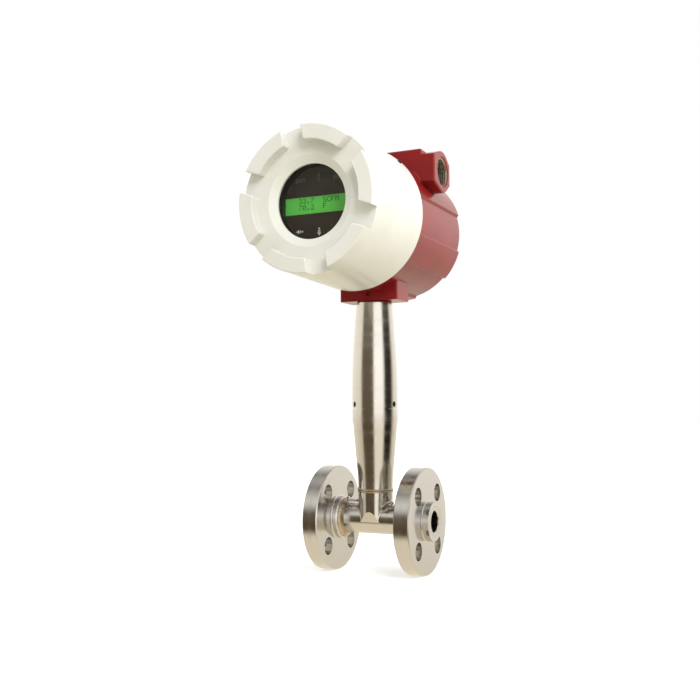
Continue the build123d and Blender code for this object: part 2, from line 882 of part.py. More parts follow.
def terminal_block():
    """The double row of screw terminals, with its board and spacers."""
    back = bay_wall_rear + terminal_spacer
    body = block(
        (-terminal_width / 2, terminal_width / 2), (back, back + terminal_depth),
        (terminal_base, terminal_base + terminal_height))
    share, depth = terminal_pocket
    half = terminal_width / terminal_ways * share / 2
    for x in terminal_stations():
        body -= block(
            (x - half, x + half), (back + terminal_depth - depth, back + terminal_depth),
            (terminal_base + terminal_rim, terminal_base + terminal_height - terminal_rim))
    middle = terminal_base + terminal_height / 2
    for x in (-terminal_width / 3, terminal_width / 3):
        body += rod_y(terminal_spacer_diameter / 2, bay_wall_rear, back, x=x, z=middle)
    return body


def terminal_stations():
    """X of each way of the terminal block."""
    pitch = terminal_width / terminal_ways
    return [(number + 0.5) * pitch - terminal_width / 2 for number in range(terminal_ways)]


def terminal_screws():
    """One clamping screw in each way of the block."""
    seat = bay_wall_rear + terminal_spacer + terminal_depth - terminal_pocket[1]
    middle = terminal_base + terminal_height / 2
    screw = rod_y(terminal_screw_diameter / 2, seat, seat + terminal_screw_height, z=middle)
    return [Pos(x, 0, 0) * screw for x in terminal_stations()]


def sensor_harness():
    """The sheathed leads from the sensor's head up the stem to the terminal block."""
    return rod_z(harness_diameter / 2, sensor_top, head_height + terminal_base)


# Rear cover


def rear_cover():
    """The cap of the wiring bay, with slots for a spanner bar."""
    radius = rear_cover_radius
    spigot = rear_opening_radius - thread_gap
    outer = housing_rear + rear_cover_rim
    seal_outer = rear_seal_radius + seal_section / 2
    seal_inner = rear_seal_radius - seal_section / 2
    body = turn_y([
        (0, outer),
        (radius - rear_cover_edge, outer),
        (radius, outer - rear_cover_edge),
        (radius, housing_rear),
        (seal_outer, housing_rear),
        (seal_outer, housing_rear + seal_section),
        (seal_inner, housing_rear + seal_section),
        (seal_inner, housing_rear),
        (spigot, housing_rear),
        (spigot, housing_rear - rear_spigot_length),
        (spigot - rear_cover_wall, housing_rear - rear_spigot_length),
        (spigot - rear_cover_wall, outer - rear_cover_wall),
        (0, outer - rear_cover_wall),
    ])
    slot = block(
        (radius * rear_slot_share, radius + overshoot), (outer - rear_slot_depth, outer + overshoot),
        (-rear_slot_width / 2, rear_slot_width / 2))
    for number in range(land_count):
        body -= Rot(0, number * 360 / land_count, 0) * slot
    return body


def rear_seal():
    """The seal in the rear cover's groove."""
    middle = housing_rear + seal_section / 2
    outer = rear_seal_radius + seal_section / 2
    return Pos(0, middle, 0) * Rot(90, 0, 0) * seal_ring(outer - seal_section, outer)


def conduit_plug():
    """The closing plug of the second conduit entry, with a hexagon socket."""
    radius = conduit_diameter / 2 - thread_gap
    outer = boss_reach - conduit_chamfer
    plug = rod_x(radius, -outer, -boss_reach + conduit_depth, conduit_station, conduit_height)
    socket = Plane.YZ * (Pos(conduit_station, conduit_height) * RegularPolygon(
        plug_socket / 2, 6, major_radius=False))
    return plug - Pos(-outer, 0, 0) * extrude(socket, plug_socket_depth)


def write_parts():
    """Write every piece."""
    os.makedirs("parts", exist_ok=True)
    outlet = flange()
    weld = hub_weld()
    body = flow_body()
    save("flow_body", body)
    save("inlet_flange", mirror(outlet, Plane.YZ))
    save("outlet_flange", outlet)
    save("inlet_weld", mirror(weld, Plane.YZ))
    save("outlet_weld", weld)
    save("neck_weld", neck_weld())
    save("shedder_bar", shedder_bar())
    save("vortex_sensor", vortex_sensor())
    save("temperature_probe", temperature_probe())
    save("pressure_tap", pressure_tap(body))
    save("port_plug", port_plug())
    save("lower_stem", lower_stem())
    save("upper_stem", upper_stem())
    save("stem_set_screws", *stem_set_screws())
    save("stem_seal", stem_seal())
    save("sensor_harness", sensor_harness())
    save("housing", head * housing())
    save("foot_set_screw", head * foot_set_screw())
    save("feedthrough", head * feedthrough())
    save("window_cover", head * window_cover())
    save("cover_lock_screw", head * cover_lock_screw())
    save("cover_seal", head * cover_seal())
    save("window_glass", head * window_glass())
    save("window_gasket", head * flat_ring(glass_radius, window_radius, glass_back, gasket_back))
    save("glass_ring", head * flat_ring(ring_radius, window_radius, gasket_back, ring_back))
    save("display_panel", head * display_panel())
    save("lcd_module", head * lcd_module())
    save("display_board", head * display_board())
    save("processor_board", head * processor_board())
    save("power_board", head * power_board())
    save("chassis", head * chassis())
    save("board_standoffs", *[head * post for post in board_standoffs()])
    save("terminal_block", head * terminal_block())
    save("terminal_screws", *[head * screw for screw in terminal_screws()])
    save("rear_cover", head * rear_cover())
    save("rear_seal", head * rear_seal())
    save("conduit_plug", head * conduit_plug())


write_parts()
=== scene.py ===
# %% [markdown]
# A vortex flow meter: a flanged steel tee, a tall steel stem and a cast head with a window.
# The solids come from CAD and are already the right size and in the right place, so this lesson
# gives them their finishes, and makes again, as finer surfaces, the few pieces whose look is in
# their small shapes: welds, a screwed port, the thread in the cable entry and the display's signs.

# %% Load the solids
import bmesh
import bpy
import numpy as np
from mathutils import Matrix, Vector


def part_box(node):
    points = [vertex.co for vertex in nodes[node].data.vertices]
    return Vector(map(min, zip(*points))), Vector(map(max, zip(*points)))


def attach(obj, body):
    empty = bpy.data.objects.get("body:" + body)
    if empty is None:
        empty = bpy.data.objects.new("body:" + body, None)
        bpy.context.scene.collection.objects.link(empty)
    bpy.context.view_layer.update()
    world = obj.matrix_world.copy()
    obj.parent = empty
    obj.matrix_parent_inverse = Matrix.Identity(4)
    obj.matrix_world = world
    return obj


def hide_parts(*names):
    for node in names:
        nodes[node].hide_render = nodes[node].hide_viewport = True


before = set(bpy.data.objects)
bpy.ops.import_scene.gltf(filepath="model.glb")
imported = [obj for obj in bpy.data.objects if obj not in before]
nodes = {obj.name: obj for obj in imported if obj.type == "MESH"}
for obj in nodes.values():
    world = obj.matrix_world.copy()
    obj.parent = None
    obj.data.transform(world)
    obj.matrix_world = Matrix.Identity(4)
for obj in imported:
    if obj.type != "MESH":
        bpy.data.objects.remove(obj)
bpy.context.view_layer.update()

# %% [markdown]
# Every measure below is in millimetres, as on a drawing, and the scene is in metres, so one
# value turns the first into the second. The places of the axes are read from the solids.

# %% Axes and measures
mm = 0.001


def middle(name):
    """The centre of a solid's box, in metres."""
    low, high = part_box(name)
    return (low + high) / 2


stem_x = middle("upper_stem").x
head_z = middle("window_cover").z
panel_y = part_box("display_panel")[0].y
lcd_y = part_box("lcd_module")[0].y
print("stem at x", round(stem_x / mm, 2), "head at z", round(head_z / mm, 2))

# %% [markdown]
# A colour is written as the sRGB hex value that a screen shows, and a shader works in linear
# light, so one function turns the first into the second. One more adds a node with its
# settings and links, and one starts a material from the values that are the same all over it.

# %% Helpers for materials


def linear(code):
    """The linear colour of an sRGB hex value."""
    seen = np.array([int(code[i:i + 2], 16) for i in (1, 3, 5)]) / 255
    light = np.where(seen <= 0.04045, seen / 12.92, ((seen + 0.055) / 1.055) ** 2.4)
    return (*light.tolist(), 1.0)


def add(tree, kind, inputs=None, stops=None, **settings):
    """A node in the tree: inputs maps each socket to a value or to another node's output."""
    node = tree.nodes.new("ShaderNode" + kind)
    for name, value in settings.items():
        setattr(node, name, value)
    for number, (place, colour) in enumerate(stops or ()):
        marks = node.color_ramp.elements
        mark = marks[number] if number < len(marks) else marks.new(place)
        mark.position, mark.color = place, colour
    for key, value in (inputs or {}).items():
        if isinstance(value, bpy.types.NodeSocket):
            tree.links.new(value, node.inputs[key])
        else:
            node.inputs[key].default_value = value
    return node


finishes = {}


def material(name, **even):
    """A new material: its nodes, its shader with the values that are even, and its place in mm."""
    made = bpy.data.materials.new(name)
    made.use_nodes = True
    tree = made.node_tree
    shader = tree.nodes["Principled BSDF"]
    for key, value in even.items():
        shader.inputs[key.replace("_", " ").title().replace("Ior", "IOR")].default_value = value
    place = add(tree, "TexCoord").outputs["Object"]
    scaled = add(tree, "VectorMath", {0: place, "Scale": 1 / mm}, operation="SCALE")
    finishes[name] = made
    return tree, shader, scaled.outputs[0]


# %% [markdown]
# The white cover and the red casting are aluminium with a baked powder coat. The powder melts
# into a skin with soft dimples a millimetre or two wide, called orange peel, which breaks up the
# reflections. So the coat is a plain dielectric with a satin gloss, a shallow dimple bump and a
# slow change of tone where the skin is thicker or thinner.

# %% Powder coats
dimple_size, dimple_depth = 1.9, 0.012
drift_size = 38


def powder_coat(name, thin, thick, roughness):
    """A powder coat: two near tones, dimples 1.9 mm apart and a satin gloss."""
    tree, shader, place = material(name, ior=1.45)
    drift = add(tree, "TexNoise", {"Vector": place, "Scale": 1 / drift_size, "Detail": 2.0})
    tones = [(0.35, linear(thin)), (0.65, linear(thick))]
    tone = add(tree, "ValToRGB", {"Fac": drift.outputs[0]}, tones)
    peel = add(tree, "TexNoise", {"Vector": place, "Scale": 1 / dimple_size, "Detail": 1.0})
    bump = add(tree, "Bump", {
        "Height": peel.outputs[0], "Distance": dimple_depth * mm, "Strength": 0.9})
    gloss = add(tree, "MapRange", {
        "Value": peel.outputs[0], "To Min": roughness - 0.03, "To Max": roughness + 0.05})
    tree.links.new(tone.outputs[0], shader.inputs["Base Color"])
    tree.links.new(gloss.outputs[0], shader.inputs["Roughness"])
    tree.links.new(bump.outputs[0], shader.inputs["Normal"])


powder_coat("white_coat", "#d9d9d2", "#dededa", 0.24)
powder_coat("red_coat", "#7a1418", "#85191c", 0.22)
print("powder coats made")

# %% [markdown]
# The flanges, stem and tube are austenitic stainless steel, type 316, cut on a lathe. A lathe
# leaves rings round the axis, and rings spread each reflection across them: that is anisotropy,
# with its tangent along the ring. The rings are a noise of the distance to the axis plus the
# distance along it, so they run right on faces and on cylinders. Real tool marks lie 0.1 to
# 0.3 mm apart, finer than a pixel here, so they are drawn a little coarser to show at all. The
# raised faces are serrated, as a gasket needs, with a groove of its own pitch and depth.

# %% Turned steel
raised_face, groove_pitch, groove_depth = 17.4, 0.8, 0.03


def ring_noise(tree, path, spacing, detail):
    """A noise along the path, its swells about spacing mm apart."""
    return add(tree, "TexNoise", {
        "W": path, "Scale": 1 / spacing, "Detail": detail}, noise_dimensions="1D").outputs[0]


def turned_steel(name, axis, centre_x, colour, pitch, depth, roughness, anisotropy, serrated=False):
    """Steel turned about the X or Z axis: rings pitch mm apart and depth mm deep."""
    tree, shader, place = material(
        name, metallic=1.0, base_color=linear(colour), anisotropic=anisotropy)
    centre = (-centre_x / mm, 0, 0)
    centred = add(tree, "VectorMath", {0: place, 1: centre}, operation="ADD").outputs[0]
    flat = (0.0, 1.0, 1.0) if axis == "X" else (1.0, 1.0, 0.0)
    across = add(tree, "VectorMath", {0: centred, 1: flat}, operation="MULTIPLY").outputs[0]
    radius = add(tree, "VectorMath", {0: across}, operation="LENGTH").outputs["Value"]
    along = add(tree, "SeparateXYZ", {0: centred}).outputs[axis]
    path = add(tree, "Math", {0: radius, 1: along}, operation="ADD").outputs[0]
    rings = ring_noise(tree, path, pitch, 3.0)
    bands = ring_noise(tree, path, pitch * 9, 1.0)
    touch = add(tree, "TexNoise", {"Vector": place, "Scale": 1 / 16, "Detail": 4.0}).outputs[0]
    mixed = add(tree, "Math", {0: bands, 1: touch}, operation="ADD").outputs[0]
    gloss = add(tree, "MapRange", {
        "Value": mixed, "From Min": 0.6, "From Max": 1.4,
        "To Min": roughness - 0.05, "To Max": roughness + 0.07})
    ground = add(tree, "Bump", {"Height": rings, "Distance": depth * mm, "Strength": 1.0})
    if serrated:
        face = add(tree, "Math", {0: radius, 1: raised_face}, operation="LESS_THAN").outputs[0]
        turns = 2 * np.pi / groove_pitch
        wave = add(tree, "Math", {0: radius, 1: turns}, operation="MULTIPLY").outputs[0]
        wave = add(tree, "Math", {0: wave}, operation="SINE").outputs[0]
        wave = add(tree, "Math", {0: wave, 1: face}, operation="MULTIPLY").outputs[0]
        ground = add(tree, "Bump", {
            "Height": wave, "Distance": groove_depth * mm, "Strength": 1.0,
            "Normal": ground.outputs[0]})
    turning = (1.0, 0.0, 0.0) if axis == "X" else (0.0, 0.0, 1.0)
    tangent = add(tree, "VectorMath", {0: turning, 1: across}, operation="CROSS_PRODUCT").outputs[0]
    tangent = add(tree, "VectorMath", {0: tangent}, operation="NORMALIZE").outputs[0]
    tree.links.new(gloss.outputs[0], shader.inputs["Roughness"])
    tree.links.new(ground.outputs[0], shader.inputs["Normal"])
    tree.links.new(tangent, shader.inputs["Tangent"])


turned_steel("turned_steel", "X", 0.0, "#c9c7c4", 0.5, 0.0012, 0.15, 0.5, serrated=True)
turned_steel("pipe_steel", "X", 0.0, "#c9c6c1", 0.7, 0.0012, 0.14, 0.3)
turned_steel("stem_steel", "Z", stem_x, "#cdc9c3", 0.8, 0.0015, 0.17, 0.45)
turned_steel("sensor_steel", "Z", stem_x, "#c4c0ba", 0.5, 0.003, 0.25, 0.3)
print("turned steels made")

# %% [markdown]
# The tap and the port plug are small bright screw-machine parts, the welds are steel that has
# been molten and keeps a straw to brown heat tint, and the screws are alloy steel with a thin
# black oxide that oil keeps from rusting.

# %% Small steel parts


def small_metal(name, low, high, roughness, grain, depth, metallic=1.0):
    """A small metal part: two tones that drift over 4 mm, and a grain of its own size and depth."""
    tree, shader, place = material(name, metallic=metallic)
    drift = add(tree, "TexNoise", {"Vector": place, "Scale": 1 / 4, "Detail": 3.0})
    tones = [(0.32, linear(low)), (0.66, linear(high))]
    tone = add(tree, "ValToRGB", {"Fac": drift.outputs[0]}, tones)
    fine = add(tree, "TexNoise", {"Vector": place, "Scale": 1 / grain, "Detail": 2.0})
    bump = add(tree, "Bump", {"Height": fine.outputs[0], "Distance": depth * mm, "Strength": 1.0})
    gloss = add(tree, "MapRange", {
        "Value": drift.outputs[0], "To Min": roughness - 0.06, "To Max": roughness + 0.08})
    tree.links.new(tone.outputs[0], shader.inputs["Base Color"])
    tree.links.new(gloss.outputs[0], shader.inputs["Roughness"])
    tree.links.new(bump.outputs[0], shader.inputs["Normal"])


small_metal("weld_steel", "#a58f6d", "#c4bcae", 0.3, 1.2, 0.01)
small_metal("bright_steel", "#bdb9b3", "#cfcbc5", 0.22, 0.9, 0.003)
small_metal("black_steel", "#23211f", "#34312d", 0.42, 0.5, 0.006, 0.6)
small_metal("screw_steel", "#b9b6ae", "#cdcac2", 0.3, 0.5, 0.004)
small_metal("plate_aluminium", "#b9bbbc", "#c7c9ca", 0.38, 0.6, 0.006)
small_metal("black_anodised", "#17181a", "#222325", 0.4, 0.3, 0.004, 0.3)
small_metal("standoff_brass", "#b99a55", "#c9aa66", 0.28, 0.6, 0.003)
small_metal("thread_aluminium", "#a9a294", "#c2bcae", 0.34, 0.8, 0.006)
print("small metals made")

# %% [markdown]
# What is left is rubber, plastic, glass and the display. The panel behind the glass is a dark
# printed sheet with a fine matt grain. The display is lit from behind, so it gives off a little
# green light of its own, more in its middle than at its ends.

# %% Plastics, rubber and boards


def moulded(name, low, high, roughness, grain, depth, **even):
    """A plastic, rubber or board: two near tones, a grain of its own size and depth, no metal."""
    tree, shader, place = material(name, **even)
    drift = add(tree, "TexNoise", {"Vector": place, "Scale": 1 / 9, "Detail": 2.0})
    tones = [(0.35, linear(low)), (0.65, linear(high))]
    tone = add(tree, "ValToRGB", {"Fac": drift.outputs[0]}, tones)
    fine = add(tree, "TexNoise", {"Vector": place, "Scale": 1 / grain, "Detail": 2.0})
    bump = add(tree, "Bump", {"Height": fine.outputs[0], "Distance": depth * mm, "Strength": 1.0})
    gloss = add(tree, "MapRange", {
        "Value": fine.outputs[0], "To Min": roughness - 0.05, "To Max": roughness + 0.05})
    tree.links.new(tone.outputs[0], shader.inputs["Base Color"])
    tree.links.new(gloss.outputs[0], shader.inputs["Roughness"])
    tree.links.new(bump.outputs[0], shader.inputs["Normal"])
    return tree, shader, place


moulded("seal_rubber", "#181817", "#222120", 0.7, 0.4, 0.01)
moulded("panel_black", "#2a211d", "#2f2521", 0.5, 0.5, 0.006)
moulded("terminal_plastic", "#3f6f4f", "#477858", 0.4, 0.7, 0.006)
moulded("cable_sheath", "#6d6d6c", "#787877", 0.5, 0.8, 0.008)
moulded("potting", "#1c1b1a", "#272523", 0.35, 1.5, 0.01)
moulded("print_white", "#d5d0c8", "#e0dcd4", 0.5, 0.4, 0.002)
moulded("print_grey", "#7d7772", "#87817b", 0.5, 0.4, 0.002)
moulded("lcd_ink", "#12331a", "#173c1e", 0.4, 0.4, 0.001)

tree, shader, place = moulded("circuit_board", "#1d5632", "#23633b", 0.35, 0.8, 0.004)
tracks = add(tree, "TexBrick", {
    "Vector": place, "Scale": 0.25, "Color1": linear("#1d5632"), "Color2": linear("#2a6d43"),
    "Mortar": linear("#8a7a3c"), "Mortar Size": 0.03})
tree.links.new(tracks.outputs["Color"], shader.inputs["Base Color"])

# %% Display and glass
tree, shader, place = material("lcd", roughness=0.35, emission_strength=0.32)
glow_reach = (1 / 34, 0, 1 / 12)
display_centre = (-stem_x / mm, 0, -head_z / mm)
offset = add(tree, "VectorMath", {0: place, 1: display_centre}, operation="ADD").outputs[0]
narrow = add(tree, "VectorMath", {0: offset, 1: glow_reach}, operation="MULTIPLY").outputs[0]
spread = add(tree, "VectorMath", {0: narrow}, operation="LENGTH").outputs["Value"]
glow = add(tree, "ValToRGB", {"Fac": spread}, [(0.0, linear("#5abd4c")), (1.0, linear("#4fae44"))])
tree.links.new(glow.outputs[0], shader.inputs["Base Color"])
tree.links.new(glow.outputs[0], shader.inputs["Emission Color"])

tree, shader, place = material("window_glass", roughness=0.0, transmission_weight=1.0, ior=1.52)
tint = add(tree, "TexNoise", {"Vector": place, "Scale": 1 / 18, "Detail": 3.0})
tint = add(tree, "ValToRGB", {"Fac": tint.outputs[0]}, [
    (0.3, linear("#f3faf5")), (0.7, linear("#f8fcfa"))])
tree.links.new(tint.outputs[0], shader.inputs["Base Color"])
nodes["window_glass"].visible_shadow = False
print("finishes:", len(finishes))

# %% [markdown]
# Each solid carries the name of its material slot, so one pass gives every one its finish.

# %% Dress the solids
for solid in nodes.values():
    for place in solid.material_slots:
        place.material = finishes[place.material.name.split(".")[0]]
print("dressed:", len(nodes))

# %% [markdown]
# New pieces are surfaces over a grid of points. A grid has rows along the piece and columns round
# it, the points are worked out all at once, and each square of four neighbours becomes a face.

# %% Helpers for surfaces


def skin(name, grid, along=False, ends=()):
    """A mesh over a grid of points, shape (rows, columns, 3), joined round its columns.

    along also joins the last row to the first, and ends lists the rows closed by a flat face.
    """
    rows, columns = grid.shape[:2]
    number = np.arange(rows * columns).reshape(rows, columns)
    here = number if along else number[:-1]
    there = np.roll(number, -1, 0) if along else number[1:]
    corners = (here, np.roll(here, -1, 1), np.roll(there, -1, 1), there)
    faces = np.stack(corners, -1).reshape(-1, 4).tolist()
    faces += [number[row].tolist() for row in ends]
    mesh = bpy.data.meshes.new(name)
    mesh.from_pydata(grid.reshape(-1, 3).tolist(), [], faces)
    return mesh


def piece(name, mesh, finish, stands_for=(), outward=True, crease=32):
    """An object of the mesh on the body root, smooth but for edges sharper than the crease."""
    if outward:
        shape = bmesh.new()
        shape.from_mesh(mesh)
        bmesh.ops.recalc_face_normals(shape, faces=shape.faces)
        shape.to_mesh(mesh)
        shape.free()
    mesh.shade_smooth()
    mesh.set_sharp_from_angle(angle=np.radians(crease))
    mesh.materials.append(finishes[finish])
    made = bpy.data.objects.new(name, mesh)
    bpy.context.scene.collection.objects.link(made)
    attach(made, "root")
    if stands_for:
        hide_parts(*stands_for)
    print(name, len(mesh.polygons), "faces")
    return made


def turned(stations, radii, count):
    """Points turned about Z: stations up the axis and radii, in mm, one or an array each row."""
    angle = np.linspace(0, 2 * np.pi, count, endpoint=False)
    radius = np.asarray(radii, float).reshape(len(stations), -1)
    radius = np.broadcast_to(radius, (len(stations), count))
    height = np.broadcast_to(np.asarray(stations, float)[:, None], radius.shape)
    return np.stack([radius * np.cos(angle), radius * np.sin(angle), height], -1) * mm


def put(grid, start, direction):
    """The grid with its Z axis laid along the direction and its zero at the start, in metres."""
    turn = np.array(Vector(direction).to_track_quat("Z", "Y").to_matrix())
    return grid @ turn.T + np.array(start)


# %% [markdown]
# The hubs and the neck are joined by TIG welds. The welder adds wire drop by drop, so the bead
# is a row of overlapping scales. The bead is a closed profile carried round the joint, and its
# skin rises and falls with the angle in a row of round humps, a little uneven.

# %% Weld beads


def bead(name, profile, crown, scales, height, centre, direction, stands_for, seed):
    """A weld: profile is a closed loop of (station, radius) in mm, crown each point's ripple.

    The ripple is height times one less the square of the phase within each scale.
    """
    count = scales * 14
    angle = np.linspace(0, 2 * np.pi, count, endpoint=False)
    wander = np.random.default_rng(seed).normal(0, 1, (2, 6))
    order = np.arange(1, 7)[:, None]
    swings = wander[0][:, None] * np.cos(order * angle) + wander[1][:, None] * np.sin(order * angle)
    uneven = swings.sum(0) / 12
    station, radius = np.asarray(profile, float).T
    lean = np.asarray(crown)[:, None] * 0.8
    phase = (angle[None, :] * scales / (2 * np.pi) + uneven + lean) % 1
    ripple = height * (1 - (2 * phase - 1) ** 2) + height * 0.5 * uneven
    skin_radius = radius[:, None] + np.asarray(crown)[:, None] * ripple
    grid = turned(station, skin_radius, count)
    mesh = skin(name, put(grid, centre, direction), along=True)
    return piece(name, mesh, "weld_steel", stands_for)


hub_low, hub_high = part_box("outlet_weld")
throat = (hub_high.x - hub_low.x) / mm
crest = hub_high.y / mm
tube_radius = 13.45
share = np.linspace(0, 1, 15)
face_radius = tube_radius + (crest - tube_radius) * (1 - share ** 1.7)
loop = np.column_stack([share * throat, face_radius])
loop = np.vstack([loop, [[throat * 0.5, tube_radius], [0.0, tube_radius]]])
rise = np.concatenate([np.sin(np.pi * share) ** 0.7, [0, 0]])
inlet_start = (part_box("inlet_weld")[0].x, 0, 0)
outlet_start = (hub_high.x, 0, 0)
scales, height = 38, 0.22
bead("outlet_hub_weld", loop, rise, scales, height, outlet_start, (-1, 0, 0), ["outlet_weld"], 3)
bead("inlet_hub_weld", loop, rise, scales, height, inlet_start, (1, 0, 0), ["inlet_weld"], 5)

low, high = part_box("neck_weld")
rise_z = (high.z - low.z) / mm
share = np.linspace(0, 1, 15)
neck_radius, neck_root, ridge_height = 15.875, 14.6, 0.55
swell = np.abs(np.sin(2 * np.pi * share)) ** 0.8
loop = np.column_stack([share * rise_z, neck_radius + ridge_height * swell])
loop = np.vstack([loop, [[rise_z, neck_root], [0.0, neck_root]]])
rise = np.concatenate([swell ** 0.6, [0, 0]])
bead("neck_bead", loop, rise, 46, 0.16, (stem_x, 0, low.z), (0, 0, 1), ["neck_weld"], 8)

# %% [markdown]
# A small tap leans out of the saddle on the outlet side: a ribbed nipple, a hexagon body and a
# round cap. A hexagon bar is round at its ends where the lathe has cut its corners off, so its
# radius is the smaller of the hexagon's and of a cone's.

# %% Pressure tap


def hexagon(across, angle):
    """The radius of a hexagon at each angle, from its width across flats."""
    return across / 2 / np.cos((angle + np.pi / 6) % (np.pi / 3) - np.pi / 6)


def joined(pieces):
    """Parts of (stations, radii) joined end to end into one profile, each row full round."""
    rows = [np.asarray(radii, float).reshape(len(stations), -1) for stations, radii in pieces]
    width = max(row.shape[1] for row in rows)
    rows = [np.broadcast_to(row, (len(row), width)) for row in rows]
    return np.concatenate([stations for stations, _ in pieces]), np.concatenate(rows)


round_count = 96
angle = np.linspace(0, 2 * np.pi, round_count, endpoint=False)
nipple_length, nipple_radius, rib_height, rib_pitch = 5.0, 1.62, 0.16, 0.62
across_flats, tap_tilt = 5.4, 41
nipple = np.linspace(0, nipple_length, 61)
ribs = nipple_radius + rib_height * np.abs(np.sin(np.pi * nipple / rib_pitch)) ** 0.6
body = np.array([nipple_length, 5.35, 5.36, 13.0, 13.4])
corner = np.array([2.5, 3.05, 3.3, 3.3, 2.6])
body_radius = np.minimum(hexagon(across_flats, angle)[None, :], corner[:, None])
cap = np.array([13.4, 13.41, 16.2, 16.75, 17.0])
cap_radius = np.array([2.2, 2.5, 2.5, 2.2, 1.7])
stations, radii = joined([(nipple, ribs), (body, body_radius), (cap, cap_radius)])
lean = np.radians(tap_tilt)
tap_start = (stem_x + 8.6 * mm, -11.6 * mm, 6.6 * mm)
tap_way = (np.cos(lean), 0, np.sin(lean))
grid = put(turned(stations, radii, round_count), tap_start, tap_way)
mesh = skin("tap_fitting", grid, ends=(0, -1))
piece("tap_fitting", mesh, "bright_steel", ["pressure_tap"])

# %% [markdown]
# On the inlet side the neck has a plugged port: a short stem and a round head with a turned edge.

# %% Port plug
head_low, head_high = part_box("port_plug")
plug_length = 10.7
stations = np.array([0.0, 8.4, 8.4, 8.9, 9.0, 10.0, 10.4, plug_length, plug_length])
radii = np.array([1.2, 1.2, 2.6, 3.2, 3.5, 3.5, 3.3, 2.9, 1.2])
plug_z = (head_low.z + head_high.z) / 2
plug_y = (head_low.y + head_high.y) / 2
plug_foot = (head_low.x + plug_length * mm, plug_y, plug_z)
grid = put(turned(stations, radii, 64), plug_foot, (-1, 0, 0))
mesh = skin("port_stopper", grid, ends=(0, -1))
piece("port_stopper", mesh, "bright_steel", ["port_plug"])

# %% [markdown]
# The cable entry is tapped with a three-quarter inch taper pipe thread, 14 turns to the inch, cut
# after the coat was baked, so it shows bare metal. Its radius is a triangle wave of the place
# along the axis less the turn of the angle, which makes it one helix.

# %% Entry thread
pitch = 25.4 / 14
boss_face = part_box("housing")[1].x
entry_y, entry_z = 9.0 * mm, head_z + 46.6 * mm
mouth, thread_end = 0.9, 19.0
depth_in = np.linspace(mouth, thread_end, 170)
turn = np.linspace(0, 2 * np.pi, 180, endpoint=False)
phase = (depth_in[:, None] / pitch + turn[None, :] / (2 * np.pi)) % 1
ridge = np.clip(1.3 * (1 - np.abs(2 * phase - 1)) - 0.15, 0, 1)
start_in = np.clip((depth_in - mouth) / 1.4, 0, 1)[:, None]
root_radius, thread_depth, taper = 13.2, 1.15, 1 / 32
thread_radius = root_radius - depth_in[:, None] * taper - thread_depth * ridge * start_in
grid = put(turned(depth_in, thread_radius, 180), (boss_face, entry_y, entry_z), (-1, 0, 0))
thread = skin("entry_thread", grid)
thread.flip_normals()
piece("entry_thread", thread, "thread_aluminium", outward=False)

# %% [markdown]
# The display is a 16 by 2 character module. Each character is a block of 5 by 7 dots, so the
# text is drawn dot by dot from small patterns: a row of the pattern is a number in base two.

# %% Display characters
patterns = {
    "3": (14, 17, 1, 6, 1, 17, 14), "7": (31, 1, 2, 4, 8, 8, 8), "0": (14, 17, 19, 21, 25, 17, 14),
    "2": (14, 17, 1, 2, 4, 8, 31), ".": (0, 0, 0, 0, 0, 12, 12), "S": (15, 16, 16, 14, 1, 1, 30),
    "C": (14, 17, 16, 16, 16, 17, 14), "F": (31, 16, 16, 30, 16, 16, 16),
    "M": (17, 27, 21, 21, 17, 17, 17),
}
dot_pitch, dot_size, column_pitch, first_column = 0.62, 0.6, 3.75, -30


def dots(text, column, row_z):
    """Centres of the dark dots of a text, in mm from the head's axis, from its first column."""
    rows = np.array([patterns[letter] for letter in text])[:, :, None]
    on = np.argwhere((rows >> np.arange(4, -1, -1)) & 1)
    x = first_column + (column + on[:, 0]) * column_pitch + (on[:, 2] + 0.5) * dot_pitch
    return np.column_stack([x, row_z + (3 - on[:, 1]) * dot_pitch])


upper_row, lower_row, number_column, unit_column = 3.9, -1.6, 3, 9
centres = np.vstack([
    dots("33.7", number_column, upper_row), dots("SCFM", unit_column, upper_row),
    dots("70.2", number_column, lower_row), dots("F", unit_column, lower_row)])
corner = np.array([(-1, -1), (1, -1), (1, 1), (-1, 1)]) * dot_size / 2
flat = (centres[:, None, :] + corner[None, :, :]).reshape(-1, 2) * mm
ink_y = np.full(len(flat), lcd_y - 0.02 * mm)
points = np.column_stack([stem_x + flat[:, 0], ink_y, head_z + flat[:, 1]])
mesh = bpy.data.meshes.new("lcd_text")
mesh.from_pydata(points.tolist(), [], np.arange(len(points)).reshape(-1, 4).tolist())
piece("lcd_text", mesh, "lcd_ink", outward=False)

# %% [markdown]
# Round the display the panel is printed with the words of two touch places and with arrows for
# the others. Words are text turned into a mesh, and an arrow is a head with two fading bars.

# %% Printed words and arrows
print_y = panel_y - 0.03 * mm
capital_share = 0.73


def word(name, text, height, x, z, finish):
    """A word printed on the panel: x and z are its left foot in mm from the head's axis."""
    curve = bpy.data.curves.new(name, "FONT")
    curve.body, curve.size, curve.offset = text, height / capital_share * mm, 0.06 * mm
    draft = bpy.data.objects.new(name, curve)
    bpy.context.scene.collection.objects.link(draft)
    bpy.context.view_layer.update()
    settled = draft.evaluated_get(bpy.context.evaluated_depsgraph_get())
    mesh = bpy.data.meshes.new_from_object(settled)
    bpy.data.objects.remove(draft)
    upright = Matrix.Rotation(np.pi / 2, 4, "X")
    place = Matrix.Translation((stem_x + x * mm, print_y, head_z + z * mm))
    mesh.transform(place @ upright)
    mesh.name = name
    return piece(name, mesh, finish, outward=False)


